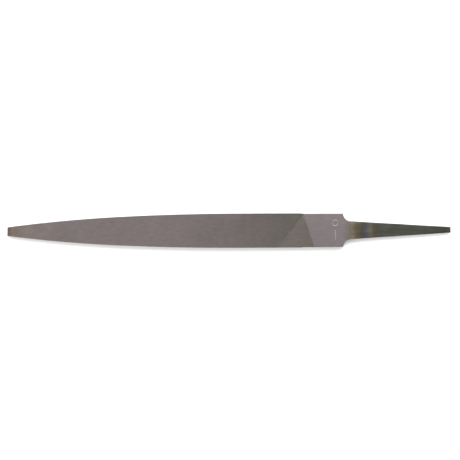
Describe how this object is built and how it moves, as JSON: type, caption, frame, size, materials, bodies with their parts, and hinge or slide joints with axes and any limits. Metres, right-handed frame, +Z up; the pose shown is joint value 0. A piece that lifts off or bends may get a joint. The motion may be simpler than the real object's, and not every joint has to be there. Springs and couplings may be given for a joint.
{
  "type": "flat file",
  "caption": "Slim steel flat file that tapers to a narrow point, with cut faces and edges, a bare ground heel and a bare tapered tang for a handle.",
  "frame": {"origin": "middle of the overall length and width, at the lower face's tooth crests, so the file lies flat on Z = 0", "axes": "X along the file, point towards -X and tang towards +X; Y across the width; +Z up, normal to the upper face"},
  "size_m": [0.2644, 0.0206, 0.005],
  "materials": {
    "ground_steel": "satin, surface ground",
    "cut_steel": "chisel-cut teeth, hardened",
    "tempered_steel": "drawn soft, dark tempering oxide"
  },
  "bodies": {
    "root": {"blade_core": "ground_steel", "heel": "ground_steel", "tang": "tempered_steel", "upper_face_teeth": "cut_steel", "lower_face_teeth": "cut_steel", "left_edge_teeth": "cut_steel", "right_edge_teeth": "cut_steel"}
  },
  "joints": []
}
